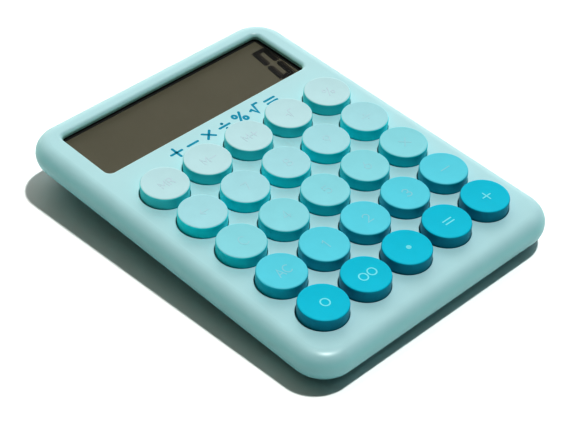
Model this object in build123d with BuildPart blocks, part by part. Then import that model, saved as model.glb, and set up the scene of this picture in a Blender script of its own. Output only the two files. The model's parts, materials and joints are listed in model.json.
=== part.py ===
"""Desk calculator: a tilted two-part casing with 25 sprung keys, a display and a battery door.

Row frame: +Z up, the desk is Z = 0, +X to the user's right, +Y towards the display end.  The origin is
the middle of the footprint on the desk.  The deck (the top face) leans back by DECK_TILT, so most pieces
are drawn on planes parallel to the deck, measured from the centre of the key grid.
"""

import os
from math import cos, radians, sin

from build123d import *

# ---------------------------------------------------------------- driving dimensions (millimetres)
KEY_PITCH_X = 19.0
KEY_PITCH_Y = 18.6
KEY_COUNT = 5  # columns and rows
KEY_TRAVEL = 1.8

DECK_TILT = 2.5  # degrees, display end higher
CASE_WIDTH = 113.0
CASE_FRONT = 56.2  # grid centre to the front edge, along the deck
CASE_REAR = 91.6  # grid centre to the rear edge, along the deck
CASE_THICKNESS = 11.6
CASE_CORNER_RADIUS = 12.5
TOP_EDGE_RADIUS = 5.3
BOTTOM_EDGE_RADIUS = 6.2
FRONT_GAP = 0.6  # underside to the desk at the front edge
WALL = 3.4  # side wall, measured at the widest line
DECK_THICKNESS = 2.0
SEAM_DEPTH = 9.8  # parting line below the deck
SEAM_GAP = 0.1
FLOOR_DEPTH = SEAM_DEPTH + SEAM_GAP  # upper face of the lower casing's floor

WINDOW_WIDTH = 92.3
WINDOW_LENGTH = 26.35
WINDOW_CORNER_RADIUS = 2.2
WINDOW_X = 0.4  # grid centre to window centre
WINDOW_Y = 70.05
WINDOW_RIM_RADIUS = 1.5

AAA_RADIUS = 5.15
AAA_LENGTH = 44.5

# ---------------------------------------------------------------- the deck plane
CASE_LENGTH = CASE_FRONT + CASE_REAR
CASE_CENTRE_Y = (CASE_REAR - CASE_FRONT) / 2
TILT_SIN = sin(radians(DECK_TILT))
TILT_COS = cos(radians(DECK_TILT))

GRID_HEIGHT = CASE_FRONT * TILT_SIN + (CASE_THICKNESS + FRONT_GAP) * TILT_COS
FRONT_EXTREME = (TOP_EDGE_RADIUS - CASE_FRONT) * TILT_COS + TOP_EDGE_RADIUS * TILT_SIN - TOP_EDGE_RADIUS
LOWER_ROUND_DEPTH = CASE_THICKNESS - BOTTOM_EDGE_RADIUS
REAR_EXTREME = (
    (CASE_REAR - BOTTOM_EDGE_RADIUS) * TILT_COS + LOWER_ROUND_DEPTH * TILT_SIN + BOTTOM_EDGE_RADIUS
)
GRID_Y = -(FRONT_EXTREME + REAR_EXTREME) / 2

deck_plane = Plane(origin=(0, GRID_Y, GRID_HEIGHT), x_dir=(1, 0, 0), z_dir=(0, -TILT_SIN, TILT_COS))
deck_axis = Axis(deck_plane.origin, deck_plane.z_dir)


def below_deck(depth):
    """The plane parallel to the deck at this depth under it."""
    return deck_plane.offset(-depth)


def floor_y(deck_y, depth):
    """Row-frame Y of a point given by its deck Y and its depth below the deck."""
    return GRID_Y + deck_y * TILT_COS + depth * TILT_SIN


def floor_z(deck_y, depth):
    """Height above the desk of a point given by its deck Y and its depth below the deck."""
    return GRID_HEIGHT + deck_y * TILT_SIN - depth * TILT_COS


def save(builder, name):
    """Label a finished piece and write it to its own STEP file."""
    builder.part.label = name
    export_step(builder.part, f"parts/{name}.step")


os.makedirs("parts", exist_ok=True)

# ---------------------------------------------------------------- fastener places (deck X, deck Y)
FRONT_SCREWS = [(-46.6, -46.4), (46.6, -46.4)]
REAR_SCREWS = [(-47.4, 48.6), (47.4, 48.6)]
CASE_SCREWS = FRONT_SCREWS + REAR_SCREWS
BOARD_SCREWS = [
    (column * KEY_PITCH_X, row * KEY_PITCH_Y)
    for column, row in [(-1.5, -1.5), (1.5, -1.5), (-1.5, 1.5), (1.5, 1.5), (-0.5, -0.5), (0.5, 0.5)]
]
THREAD_CLEARANCE = 0.05
BORE_END_DEPTH = DECK_THICKNESS + 0.8  # blind end of the threaded bores
CASE_SCREW_RADIUS = 1.0
CASE_SCREW_HEAD_RADIUS = 2.1
CASE_SCREW_HEAD = 1.3
SCREW_SEAT_DEPTH = 9.9  # where the screw heads bear on the lower casing
PILLAR_RADIUS = 2.8
PILLAR_END_DEPTH = 8.4
BOARD_SCREW_RADIUS = 0.9
BOARD_SCREW_HEAD_RADIUS = 1.8
BOARD_SCREW_HEAD = 1.0
BOARD_POST_RADIUS = 2.2

# ---------------------------------------------------------------- key stack, depths below the deck
HOLE_RADIUS = 8.62
HOLE_RIM_RADIUS = 0.15
KEY_TOP_HEIGHT = 4.35
KEY_TOP_RADIUS = 8.38
KEY_SKIRT_RADIUS = 8.42
KEY_FLANGE_RADIUS = 9.1
KEY_FLANGE_TOP = DECK_THICKNESS + 0.15
KEY_FLANGE_THICKNESS = 0.8
KEY_FLANGE_END = KEY_FLANGE_TOP + KEY_FLANGE_THICKNESS
KEY_WALL = 1.1
KEY_CROWN = 1.5
KEY_DISH = 0.25
KEY_EDGE_RADIUS = 0.5
KEY_STEM_RADIUS = 2.0
KEY_STEM_END = 3.4
KEY_OVERTRAVEL = 0.85  # left under the flange when a key is fully down
SHEET_TOP = KEY_FLANGE_END + KEY_TRAVEL + KEY_OVERTRAVEL
SHEET_THICKNESS = 0.8
BOARD_TOP = SHEET_TOP + SHEET_THICKNESS
BOARD_THICKNESS = 1.2
BOARD_BOTTOM = BOARD_TOP + BOARD_THICKNESS

# ---------------------------------------------------------------- display stack, depths below the deck
LENS_TOP = 2.2
LENS_THICKNESS = 0.8
GASKET_THICKNESS = 0.2
GLASS_THICKNESS = 0.7
REFLECTOR_THICKNESS = 0.15
GASKET_TOP = LENS_TOP + LENS_THICKNESS
FRONT_GLASS_TOP = GASKET_TOP + GASKET_THICKNESS
REAR_GLASS_TOP = FRONT_GLASS_TOP + GLASS_THICKNESS
REFLECTOR_TOP = REAR_GLASS_TOP + GLASS_THICKNESS
DISPLAY_STACK_END = REFLECTOR_TOP + REFLECTOR_THICKNESS
LENS_OVERLAP = 1.5  # lens beyond the window on each side
POCKET_CLEARANCE = 0.1
RIM_WIDTH = 3.6  # thickened rim around the window
RIM_END_DEPTH = 3.6
HOLDER_END_DEPTH = DISPLAY_STACK_END + 0.8
GASKET_BORDER = 0.7  # black border seen around the panel
LEDGE = 4.0  # front glass beyond the rear glass, where the contacts are

LENS_WIDTH = WINDOW_WIDTH + 2 * LENS_OVERLAP
LENS_LENGTH = WINDOW_LENGTH + 2 * LENS_OVERLAP
LENS_FRONT_Y = WINDOW_Y - LENS_LENGTH / 2
LENS_REAR_Y = WINDOW_Y + LENS_LENGTH / 2

# ---------------------------------------------------------------- stand block, battery bay and feet
STAND_CLEARANCE = 1.2  # block to desk
STAND_WIDTH = 92.0
STAND_FRONT_Y = floor_y(60.5, CASE_THICKNESS)
STAND_REAR_Y = floor_y(86.6, CASE_THICKNESS)
STAND_LENGTH = STAND_REAR_Y - STAND_FRONT_Y
STAND_CENTRE_Y = (STAND_FRONT_Y + STAND_REAR_Y) / 2
STAND_CORNER_RADIUS = 5.0
STAND_WALL = 1.5
DOOR_THICKNESS = 1.2
DOOR_GAP = 0.1
DOOR_WIDTH = 60.0
DOOR_TONGUE = 1.2  # door edge that runs in the block's grooves
BAY_LENGTH = 54.0
BAY_WIDTH = 11.2
BAY_Y = floor_y(79.0, CASE_THICKNESS)
BAY_WALL = 1.2
BAY_WALL_HEIGHT = 10.6
CELL_Z = STAND_CLEARANCE + DOOR_THICKNESS + 0.15 + AAA_RADIUS
FOOT_RADIUS = 5.0
FOOT_RECESS = 0.4
FRONT_FEET = [(-36.0, -44.0), (36.0, -44.0)]
REAR_FOOT_X = 38.0
REAR_FOOT_Y = STAND_CENTRE_Y

# ---------------------------------------------------------------- casing blank shared by both shells
with BuildPart() as case_blank:
    with BuildSketch(below_deck(CASE_THICKNESS)):
        with Locations((0, CASE_CENTRE_Y)):
            RectangleRounded(CASE_WIDTH, CASE_LENGTH, CASE_CORNER_RADIUS)
    extrude(amount=CASE_THICKNESS)
    fillet(case_blank.faces().sort_by(deck_axis)[-1].edges(), TOP_EDGE_RADIUS)
    fillet(case_blank.faces().sort_by(deck_axis)[0].edges(), BOTTOM_EDGE_RADIUS)

CAVITY_WIDTH = CASE_WIDTH - 2 * WALL
CAVITY_LENGTH = CASE_LENGTH - 2 * WALL
CAVITY_CORNER_RADIUS = CASE_CORNER_RADIUS - WALL
CAVITY_TOP_RADIUS = 2.0

with BuildPart() as cavity_blank:
    with BuildSketch(below_deck(CASE_THICKNESS)):
        with Locations((0, CASE_CENTRE_Y)):
            RectangleRounded(CAVITY_WIDTH, CAVITY_LENGTH, CAVITY_CORNER_RADIUS)
    extrude(amount=CASE_THICKNESS - DECK_THICKNESS)
    fillet(cavity_blank.faces().sort_by(deck_axis)[-1].edges(), CAVITY_TOP_RADIUS)

# ---------------------------------------------------------------- upper casing
CLIP_WIDTH = 10.0
CLIP_DEPTH = 9.1
CLIP_HEIGHT = 0.9
CLIP_REACH = 0.8
CLIP_CLEARANCE = 0.25
CLIP_SPACING = 30.0
LIP_CLEARANCE = 0.15
LIP_THICKNESS = 1.2
LIP_TOP_DEPTH = 8.2
CAVITY_REAR_Y = CASE_REAR - WALL

with BuildPart() as upper_casing:
    add(case_blank.part)
    split(bisect_by=below_deck(SEAM_DEPTH), keep=Keep.TOP)
    add(cavity_blank.part, mode=Mode.SUBTRACT)
    # pillars for the casing screws and posts for the board screws
    with BuildSketch(below_deck(DECK_THICKNESS / 2)):
        with Locations(*CASE_SCREWS):
            Circle(PILLAR_RADIUS)
    extrude(amount=-(PILLAR_END_DEPTH - DECK_THICKNESS / 2))
    with BuildSketch(below_deck(DECK_THICKNESS / 2)):
        with Locations(*BOARD_SCREWS):
            Circle(BOARD_POST_RADIUS)
    extrude(amount=-(BOARD_TOP - DECK_THICKNESS / 2))
    # thickened rim around the window, with the lens pocket in its underside
    with BuildSketch(below_deck(DECK_THICKNESS / 2)):
        with Locations((WINDOW_X, WINDOW_Y)):
            RectangleRounded(
                WINDOW_WIDTH + 2 * RIM_WIDTH, WINDOW_LENGTH + 2 * RIM_WIDTH, WINDOW_CORNER_RADIUS + 1
            )
    extrude(amount=-(RIM_END_DEPTH - DECK_THICKNESS / 2))
    with BuildSketch(below_deck(RIM_END_DEPTH)):
        with Locations((WINDOW_X, WINDOW_Y)):
            Rectangle(LENS_WIDTH + 2 * POCKET_CLEARANCE, LENS_LENGTH + 2 * POCKET_CLEARANCE)
    extrude(amount=RIM_END_DEPTH - LENS_TOP, mode=Mode.SUBTRACT)
    # key holes and window
    with BuildSketch(deck_plane):
        with GridLocations(KEY_PITCH_X, KEY_PITCH_Y, KEY_COUNT, KEY_COUNT):
            Circle(HOLE_RADIUS)
        with Locations((WINDOW_X, WINDOW_Y)):
            RectangleRounded(WINDOW_WIDTH, WINDOW_LENGTH, WINDOW_CORNER_RADIUS)
    extrude(amount=-RIM_END_DEPTH, mode=Mode.SUBTRACT)
    deck_face = upper_casing.faces().filter_by(GeomType.PLANE).sort_by(deck_axis)[-1]
    hole_rims = deck_face.inner_wires().edges().filter_by(
        lambda edge: edge.geom_type == GeomType.CIRCLE and abs(edge.radius - HOLE_RADIUS) < 0.01
    )
    fillet(hole_rims, HOLE_RIM_RADIUS)
    deck_face = upper_casing.faces().filter_by(GeomType.PLANE).sort_by(deck_axis)[-1]
    window_rim = deck_face.inner_wires().sort_by(SortBy.LENGTH)[-1].edges()
    fillet(window_rim, WINDOW_RIM_RADIUS)
    # threaded bores
    with BuildSketch(below_deck(PILLAR_END_DEPTH)):
        with Locations(*CASE_SCREWS):
            Circle(CASE_SCREW_RADIUS + THREAD_CLEARANCE)
    extrude(amount=PILLAR_END_DEPTH - BORE_END_DEPTH, mode=Mode.SUBTRACT)
    with BuildSketch(below_deck(BOARD_TOP)):
        with Locations(*BOARD_SCREWS):
            Circle(BOARD_SCREW_RADIUS + THREAD_CLEARANCE)
    extrude(amount=BOARD_TOP - BORE_END_DEPTH, mode=Mode.SUBTRACT)
    # pockets for the lower casing's rear clips
    with BuildSketch(below_deck(CLIP_DEPTH + CLIP_CLEARANCE)):
        with Locations((0, CAVITY_REAR_Y)):
            with GridLocations(CLIP_SPACING, 1, 3, 1):
                Rectangle(CLIP_WIDTH + 2 * CLIP_CLEARANCE, 2 * (CLIP_REACH + CLIP_CLEARANCE))
    extrude(amount=CLIP_HEIGHT + 2 * CLIP_CLEARANCE, mode=Mode.SUBTRACT)
save(upper_casing, "upper_casing")

# ---------------------------------------------------------------- stand block blank
with BuildPart() as stand_blank:
    with BuildSketch(Plane.XY.offset(STAND_CLEARANCE)):
        with Locations((0, STAND_CENTRE_Y)):
            RectangleRounded(STAND_WIDTH, STAND_LENGTH, STAND_CORNER_RADIUS)
    extrude(amount=CASE_THICKNESS)
    fillet(stand_blank.faces().sort_by(Axis.Z)[0].edges(), STAND_WALL)
    split(bisect_by=below_deck(FLOOR_DEPTH + 0.2), keep=Keep.BOTTOM)

# ---------------------------------------------------------------- lower casing
SIDE_POCKET_WIDTH = (STAND_WIDTH - DOOR_WIDTH) / 2 - 2 * STAND_WALL - DOOR_GAP
SIDE_POCKET_X = DOOR_WIDTH / 2 + DOOR_GAP + STAND_WALL + SIDE_POCKET_WIDTH / 2
BAY_FRONT_Y = BAY_Y - BAY_WIDTH / 2
BAY_REAR_Y = BAY_Y + BAY_WIDTH / 2
DOOR_FRONT_Y = STAND_FRONT_Y
DOOR_REAR_Y = BAY_REAR_Y - 0.4
DOOR_RECESS_TOP = STAND_CLEARANCE + DOOR_THICKNESS + DOOR_GAP
TONGUE_BOTTOM = STAND_CLEARANCE + 0.6  # the grooves' lower lips are this much of the block
TONGUE_HEIGHT = DOOR_THICKNESS - 0.6
FRONT_POCKET_LENGTH = BAY_FRONT_Y - BAY_WALL - STAND_FRONT_Y - STAND_WALL
FRONT_POCKET_Y = STAND_FRONT_Y + STAND_WALL + FRONT_POCKET_LENGTH / 2

with BuildPart() as lower_casing:
    add(case_blank.part)
    split(bisect_by=below_deck(FLOOR_DEPTH), keep=Keep.BOTTOM)
    # locating lip that stands inside the upper casing's wall
    with BuildSketch(below_deck(FLOOR_DEPTH)):
        with Locations((0, CASE_CENTRE_Y)):
            RectangleRounded(
                CAVITY_WIDTH - 2 * LIP_CLEARANCE,
                CAVITY_LENGTH - 2 * LIP_CLEARANCE,
                CAVITY_CORNER_RADIUS - LIP_CLEARANCE,
            )
            RectangleRounded(
                CAVITY_WIDTH - 2 * LIP_CLEARANCE - 2 * LIP_THICKNESS,
                CAVITY_LENGTH - 2 * LIP_CLEARANCE - 2 * LIP_THICKNESS,
                CAVITY_CORNER_RADIUS - LIP_CLEARANCE - LIP_THICKNESS,
                mode=Mode.SUBTRACT,
            )
    extrude(amount=FLOOR_DEPTH - LIP_TOP_DEPTH)
    with BuildSketch(below_deck(CLIP_DEPTH)):
        with Locations((0, CAVITY_REAR_Y + CLIP_REACH / 2 - LIP_THICKNESS / 2)):
            with GridLocations(CLIP_SPACING, 1, 3, 1):
                Rectangle(CLIP_WIDTH, CLIP_REACH + LIP_THICKNESS)
    extrude(amount=CLIP_HEIGHT)
    # screw bosses
    with BuildSketch(below_deck(FLOOR_DEPTH)):
        with Locations(*CASE_SCREWS):
            Circle(PILLAR_RADIUS + 1.0)
    extrude(amount=FLOOR_DEPTH - PILLAR_END_DEPTH - 0.05)
    # stand block under the display end, and the battery bay's walls above the floor
    add(stand_blank.part)
    with BuildSketch(Plane.XY.offset(floor_z(70.0, CASE_THICKNESS))):
        with Locations((0, BAY_Y)):
            Rectangle(BAY_LENGTH + 2 * BAY_WALL, BAY_WIDTH + 2 * BAY_WALL)
    extrude(amount=BAY_WALL_HEIGHT - floor_z(70.0, CASE_THICKNESS))
    # hollows in the block: one each side, and one in front of the battery bay
    with BuildSketch(Plane.XY.offset(STAND_CLEARANCE + STAND_WALL)):
        with Locations((-SIDE_POCKET_X, STAND_CENTRE_Y), (SIDE_POCKET_X, STAND_CENTRE_Y)):
            Rectangle(SIDE_POCKET_WIDTH, STAND_LENGTH - 2 * STAND_WALL)
    extrude(amount=BAY_WALL_HEIGHT, mode=Mode.SUBTRACT)
    with BuildSketch(Plane.XY.offset(DOOR_RECESS_TOP + 1.0)):
        with Locations((0, FRONT_POCKET_Y)):
            Rectangle(BAY_LENGTH, FRONT_POCKET_LENGTH)
    extrude(amount=BAY_WALL_HEIGHT, mode=Mode.SUBTRACT)
    # the bay itself, open to the door
    with BuildSketch(Plane.XY):
        with Locations((0, BAY_Y)):
            Rectangle(BAY_LENGTH, BAY_WIDTH)
    extrude(amount=BAY_WALL_HEIGHT + 1, mode=Mode.SUBTRACT)
    # recess for the door, open at the front, with a groove at each side
    with BuildSketch(Plane.XY):
        with Locations((0, (DOOR_FRONT_Y + DOOR_REAR_Y) / 2 - 1)):
            Rectangle(DOOR_WIDTH - 2 * DOOR_TONGUE + 2 * DOOR_GAP, DOOR_REAR_Y - DOOR_FRONT_Y + 2 + 2 * DOOR_GAP)
    extrude(amount=DOOR_RECESS_TOP, mode=Mode.SUBTRACT)
    with BuildSketch(Plane.XY.offset(TONGUE_BOTTOM - DOOR_GAP)):
        with Locations((0, (DOOR_FRONT_Y + DOOR_REAR_Y) / 2 - 1)):
            Rectangle(DOOR_WIDTH + 2 * DOOR_GAP, DOOR_REAR_Y - DOOR_FRONT_Y + 2 + 2 * DOOR_GAP)
    extrude(amount=TONGUE_HEIGHT + 2 * DOOR_GAP, mode=Mode.SUBTRACT)
    # screw recesses and clearance holes
    with BuildSketch(below_deck(CASE_THICKNESS + 1)):
        with Locations(*CASE_SCREWS):
            Circle(CASE_SCREW_HEAD_RADIUS + 0.4)
    extrude(amount=CASE_THICKNESS + 1 - SCREW_SEAT_DEPTH, mode=Mode.SUBTRACT)
    with BuildSketch(below_deck(CASE_THICKNESS)):
        with Locations(*CASE_SCREWS):
            Circle(CASE_SCREW_RADIUS + 0.2)
    extrude(amount=CASE_THICKNESS - PILLAR_END_DEPTH + 1, mode=Mode.SUBTRACT)
    # shallow seats for the feet
    with BuildSketch(below_deck(CASE_THICKNESS + 1)):
        with Locations(*FRONT_FEET):
            Circle(FOOT_RADIUS + POCKET_CLEARANCE)
    extrude(amount=1 + FOOT_RECESS, mode=Mode.SUBTRACT)
    with BuildSketch(Plane.XY):
        with Locations((-REAR_FOOT_X, REAR_FOOT_Y), (REAR_FOOT_X, REAR_FOOT_Y)):
            Circle(FOOT_RADIUS + POCKET_CLEARANCE)
    extrude(amount=STAND_CLEARANCE + FOOT_RECESS, mode=Mode.SUBTRACT)
save(lower_casing, "lower_casing")

# ---------------------------------------------------------------- battery door
GRIP_RIBS = 6
GRIP_PITCH = 1.4
GRIP_WIDTH = 18.0
GRIP_GROOVE = 0.6

with BuildPart() as battery_door:
    with BuildSketch(Plane.XY.offset(STAND_CLEARANCE)):
        with Locations((0, (DOOR_FRONT_Y + DOOR_REAR_Y) / 2)):
            Rectangle(DOOR_WIDTH - 2 * DOOR_TONGUE, DOOR_REAR_Y - DOOR_FRONT_Y)
    extrude(amount=DOOR_THICKNESS)
    with BuildSketch(Plane.XY.offset(TONGUE_BOTTOM)):
        with Locations((0, (DOOR_FRONT_Y + STAND_CORNER_RADIUS + DOOR_REAR_Y) / 2)):
            Rectangle(DOOR_WIDTH, DOOR_REAR_Y - DOOR_FRONT_Y - STAND_CORNER_RADIUS)
    extrude(amount=TONGUE_HEIGHT)
    front_edge = battery_door.edges().filter_by(Axis.X).group_by(Axis.Y)[0].sort_by(Axis.Z)[0]
    fillet(front_edge, DOOR_THICKNESS - 0.2)
    with BuildSketch(Plane.XY.offset(STAND_CLEARANCE)):
        with Locations((0, DOOR_FRONT_Y + 6)):
            with GridLocations(1, GRIP_PITCH, 1, GRIP_RIBS):
                Rectangle(GRIP_WIDTH, GRIP_GROOVE)
    extrude(amount=0.5, mode=Mode.SUBTRACT)
save(battery_door, "battery_door")

# ---------------------------------------------------------------- feet
for name, (foot_x, foot_y) in zip(["front_foot_left", "front_foot_right"], FRONT_FEET):
    with BuildPart() as front_foot:
        with BuildSketch(below_deck(CASE_THICKNESS - FOOT_RECESS)):
            with Locations((foot_x, foot_y)):
                Circle(FOOT_RADIUS)
        extrude(amount=-4 * STAND_CLEARANCE)
        split(bisect_by=Plane.XY, keep=Keep.TOP)
    save(front_foot, name)

for name, foot_x in [("rear_foot_left", -REAR_FOOT_X), ("rear_foot_right", REAR_FOOT_X)]:
    with BuildPart() as rear_foot:
        with BuildSketch(Plane.XY):
            with Locations((foot_x, REAR_FOOT_Y)):
                Circle(FOOT_RADIUS)
        extrude(amount=STAND_CLEARANCE + FOOT_RECESS)
        fillet(rear_foot.faces().sort_by(Axis.Z)[0].edges(), 0.3)
    save(rear_foot, name)

# ---------------------------------------------------------------- display
with BuildPart() as display_lens:
    with BuildSketch(below_deck(LENS_TOP)):
        with Locations((WINDOW_X, WINDOW_Y)):
            Rectangle(LENS_WIDTH, LENS_LENGTH)
    extrude(amount=-LENS_THICKNESS)
save(display_lens, "display_lens")

with BuildPart() as display_gasket:
    with BuildSketch(below_deck(GASKET_TOP)):
        with Locations((WINDOW_X, WINDOW_Y)):
            Rectangle(LENS_WIDTH, LENS_LENGTH)
            Rectangle(
                WINDOW_WIDTH - 2 * GASKET_BORDER,
                WINDOW_LENGTH - 2 * GASKET_BORDER,
                mode=Mode.SUBTRACT,
            )
    extrude(amount=-GASKET_THICKNESS)
save(display_gasket, "display_gasket")

with BuildPart() as lcd_front_glass:
    with BuildSketch(below_deck(FRONT_GLASS_TOP)):
        with Locations((WINDOW_X, WINDOW_Y)):
            Rectangle(LENS_WIDTH, LENS_LENGTH)
    extrude(amount=-GLASS_THICKNESS)
save(lcd_front_glass, "lcd_front_glass")

with BuildPart() as lcd_rear_glass:
    with BuildSketch(below_deck(REAR_GLASS_TOP)):
        with Locations((WINDOW_X, WINDOW_Y + LEDGE / 2)):
            Rectangle(LENS_WIDTH, LENS_LENGTH - LEDGE)
    extrude(amount=-GLASS_THICKNESS)
save(lcd_rear_glass, "lcd_rear_glass")

with BuildPart() as lcd_reflector:
    with BuildSketch(below_deck(REFLECTOR_TOP)):
        with Locations((WINDOW_X, WINDOW_Y + LEDGE / 2)):
            Rectangle(LENS_WIDTH, LENS_LENGTH - LEDGE)
    extrude(amount=-REFLECTOR_THICKNESS)
save(lcd_reflector, "lcd_reflector")

ZEBRA_LENGTH = 86.0
ZEBRA_WIDTH = 1.8
ZEBRA_Y = LENS_FRONT_Y + 1.4
SUPPORT_WIDTH = 1.4  # ledge of the holder under the panel's edges
HOLDER_CORNER_RADIUS = 3.0

with BuildPart() as display_holder:
    with BuildSketch(below_deck(RIM_END_DEPTH + POCKET_CLEARANCE)):
        with Locations((WINDOW_X, WINDOW_Y)):
            RectangleRounded(
                WINDOW_WIDTH + 2 * RIM_WIDTH, WINDOW_LENGTH + 2 * RIM_WIDTH, HOLDER_CORNER_RADIUS
            )
    extrude(amount=-(HOLDER_END_DEPTH - RIM_END_DEPTH - POCKET_CLEARANCE))
    with BuildSketch(below_deck(RIM_END_DEPTH)):
        with Locations((WINDOW_X, WINDOW_Y)):
            Rectangle(LENS_WIDTH + 2 * POCKET_CLEARANCE, LENS_LENGTH + 2 * POCKET_CLEARANCE)
    extrude(amount=-(DISPLAY_STACK_END - RIM_END_DEPTH), mode=Mode.SUBTRACT)
    with BuildSketch(below_deck(DISPLAY_STACK_END)):
        with Locations((WINDOW_X, WINDOW_Y + SUPPORT_WIDTH / 2)):
            Rectangle(LENS_WIDTH - 2 * SUPPORT_WIDTH, LENS_LENGTH - 3 * SUPPORT_WIDTH)
        with Locations((WINDOW_X, ZEBRA_Y)):
            Rectangle(ZEBRA_LENGTH + 2 * POCKET_CLEARANCE, ZEBRA_WIDTH + 2 * POCKET_CLEARANCE)
    extrude(amount=-HOLDER_END_DEPTH, mode=Mode.SUBTRACT)
save(display_holder, "display_holder")

with BuildPart() as zebra_strip:
    with BuildSketch(below_deck(REAR_GLASS_TOP)):
        with Locations((WINDOW_X, ZEBRA_Y)):
            Rectangle(ZEBRA_LENGTH, ZEBRA_WIDTH)
    extrude(amount=-(BOARD_TOP - REAR_GLASS_TOP))
save(zebra_strip, "zebra_strip")

# ---------------------------------------------------------------- circuit board and what is on it
BOARD_WIDTH = 88.4
BOARD_FRONT_Y = -44.6
BOARD_REAR_Y = 58.4
BOARD_CENTRE_Y = (BOARD_FRONT_Y + BOARD_REAR_Y) / 2
CHIP_Y = 9.3
CHIP_RADIUS = 7.0
CHIP_HEIGHT = 1.4
CAPACITORS = [(-30.0, 9.3), (-30.0, -9.3), (30.0, -9.3)]
CAPACITOR_RADIUS = 1.5
CAPACITOR_LENGTH = 5.0

with BuildPart() as circuit_board:
    with BuildSketch(below_deck(BOARD_TOP)):
        with Locations((0, BOARD_CENTRE_Y)):
            RectangleRounded(BOARD_WIDTH, BOARD_REAR_Y - BOARD_FRONT_Y, 4.0)
        with Locations(*BOARD_SCREWS):
            Circle(BOARD_SCREW_RADIUS + 0.15, mode=Mode.SUBTRACT)
    extrude(amount=-BOARD_THICKNESS)
save(circuit_board, "circuit_board")

with BuildPart() as driver_chip:
    with BuildSketch(below_deck(BOARD_BOTTOM)):
        with Locations((0, CHIP_Y)):
            Circle(CHIP_RADIUS)
    extrude(amount=-CHIP_HEIGHT)
    fillet(driver_chip.faces().sort_by(deck_axis)[0].edges(), CHIP_HEIGHT * 0.85)
save(driver_chip, "driver_chip")

with BuildPart() as board_capacitors:
    with BuildSketch(below_deck(BOARD_BOTTOM)):
        with Locations(*CAPACITORS):
            RectangleRounded(CAPACITOR_LENGTH, 2 * CAPACITOR_RADIUS, 0.6)
    extrude(amount=-CHIP_HEIGHT)
save(board_capacitors, "board_capacitors")

# ---------------------------------------------------------------- rubber dome sheet
SHEET_WIDTH = 88.0
SHEET_LENGTH = 88.0
DOME_BASE_RADIUS = 4.4
DOME_TOP_RADIUS = 2.6
DOME_WALL = 0.5
DOME_TOP = KEY_STEM_END + 0.05

with BuildPart() as rubber_dome_sheet:
    with BuildSketch(below_deck(SHEET_TOP)):
        RectangleRounded(SHEET_WIDTH, SHEET_LENGTH, 4.0)
        with Locations(*BOARD_SCREWS):
            Circle(BOARD_POST_RADIUS + 0.3, mode=Mode.SUBTRACT)
    extrude(amount=-SHEET_THICKNESS)
    with Locations(below_deck((SHEET_TOP + DOME_TOP) / 2)):
        with GridLocations(KEY_PITCH_X, KEY_PITCH_Y, KEY_COUNT, KEY_COUNT):
            Cone(DOME_BASE_RADIUS, DOME_TOP_RADIUS, SHEET_TOP - DOME_TOP)
    with Locations(below_deck((BOARD_TOP + DOME_TOP + 1.2) / 2)):
        with GridLocations(KEY_PITCH_X, KEY_PITCH_Y, KEY_COUNT, KEY_COUNT):
            Cone(
                DOME_BASE_RADIUS - DOME_WALL,
                DOME_TOP_RADIUS - DOME_WALL,
                BOARD_TOP - DOME_TOP - 1.2,
                mode=Mode.SUBTRACT,
            )
save(rubber_dome_sheet, "rubber_dome_sheet")

# ---------------------------------------------------------------- screws
with BuildPart() as casing_screws:
    with BuildSketch(below_deck(SCREW_SEAT_DEPTH)):
        with Locations(*CASE_SCREWS):
            Circle(CASE_SCREW_HEAD_RADIUS)
    extrude(amount=-CASE_SCREW_HEAD)
    with BuildSketch(below_deck(SCREW_SEAT_DEPTH + CASE_SCREW_HEAD)):
        with Locations(*CASE_SCREWS):
            Rectangle(2.6, 0.6)
            Rectangle(0.6, 2.6)
    extrude(amount=0.7, mode=Mode.SUBTRACT)
    with BuildSketch(below_deck(SCREW_SEAT_DEPTH)):
        with Locations(*CASE_SCREWS):
            Circle(CASE_SCREW_RADIUS)
    extrude(amount=SCREW_SEAT_DEPTH - DECK_THICKNESS - 2.0)
save(casing_screws, "casing_screws")

with BuildPart() as board_screws:
    with BuildSketch(below_deck(BOARD_BOTTOM)):
        with Locations(*BOARD_SCREWS):
            Circle(BOARD_SCREW_HEAD_RADIUS)
    extrude(amount=-BOARD_SCREW_HEAD)
    with BuildSketch(below_deck(BOARD_BOTTOM)):
        with Locations(*BOARD_SCREWS):
            Circle(BOARD_SCREW_RADIUS)
    extrude(amount=BOARD_BOTTOM - DECK_THICKNESS - 1.2)
save(board_screws, "board_screws")

# ---------------------------------------------------------------- battery and contacts, along X
NUB_LENGTH = 0.8
NUB_RADIUS = 1.9
CELL_NUB_END = BAY_LENGTH / 2 - 1.5
CELL_BODY_END = CELL_NUB_END - NUB_LENGTH
CELL_FLAT_END = CELL_NUB_END - AAA_LENGTH
CONTACT_SIZE = 8.0
CONTACT_THICKNESS = 0.4
CONTACT_X = BAY_LENGTH / 2 - 0.05
SPRING_WIRE = 0.3
SPRING_TURNS = 4
SPRING_RADIUS = 3.2

with BuildPart() as battery_cell:
    with BuildSketch(Plane.YZ.offset(CELL_FLAT_END)):
        with Locations((BAY_Y, CELL_Z)):
            Circle(AAA_RADIUS)
    extrude(amount=AAA_LENGTH - NUB_LENGTH)
    fillet(battery_cell.edges().filter_by(GeomType.CIRCLE), 0.4)
    with BuildSketch(Plane.YZ.offset(CELL_BODY_END)):
        with Locations((BAY_Y, CELL_Z)):
            Circle(NUB_RADIUS)
    extrude(amount=NUB_LENGTH)
save(battery_cell, "battery_cell")

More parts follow.
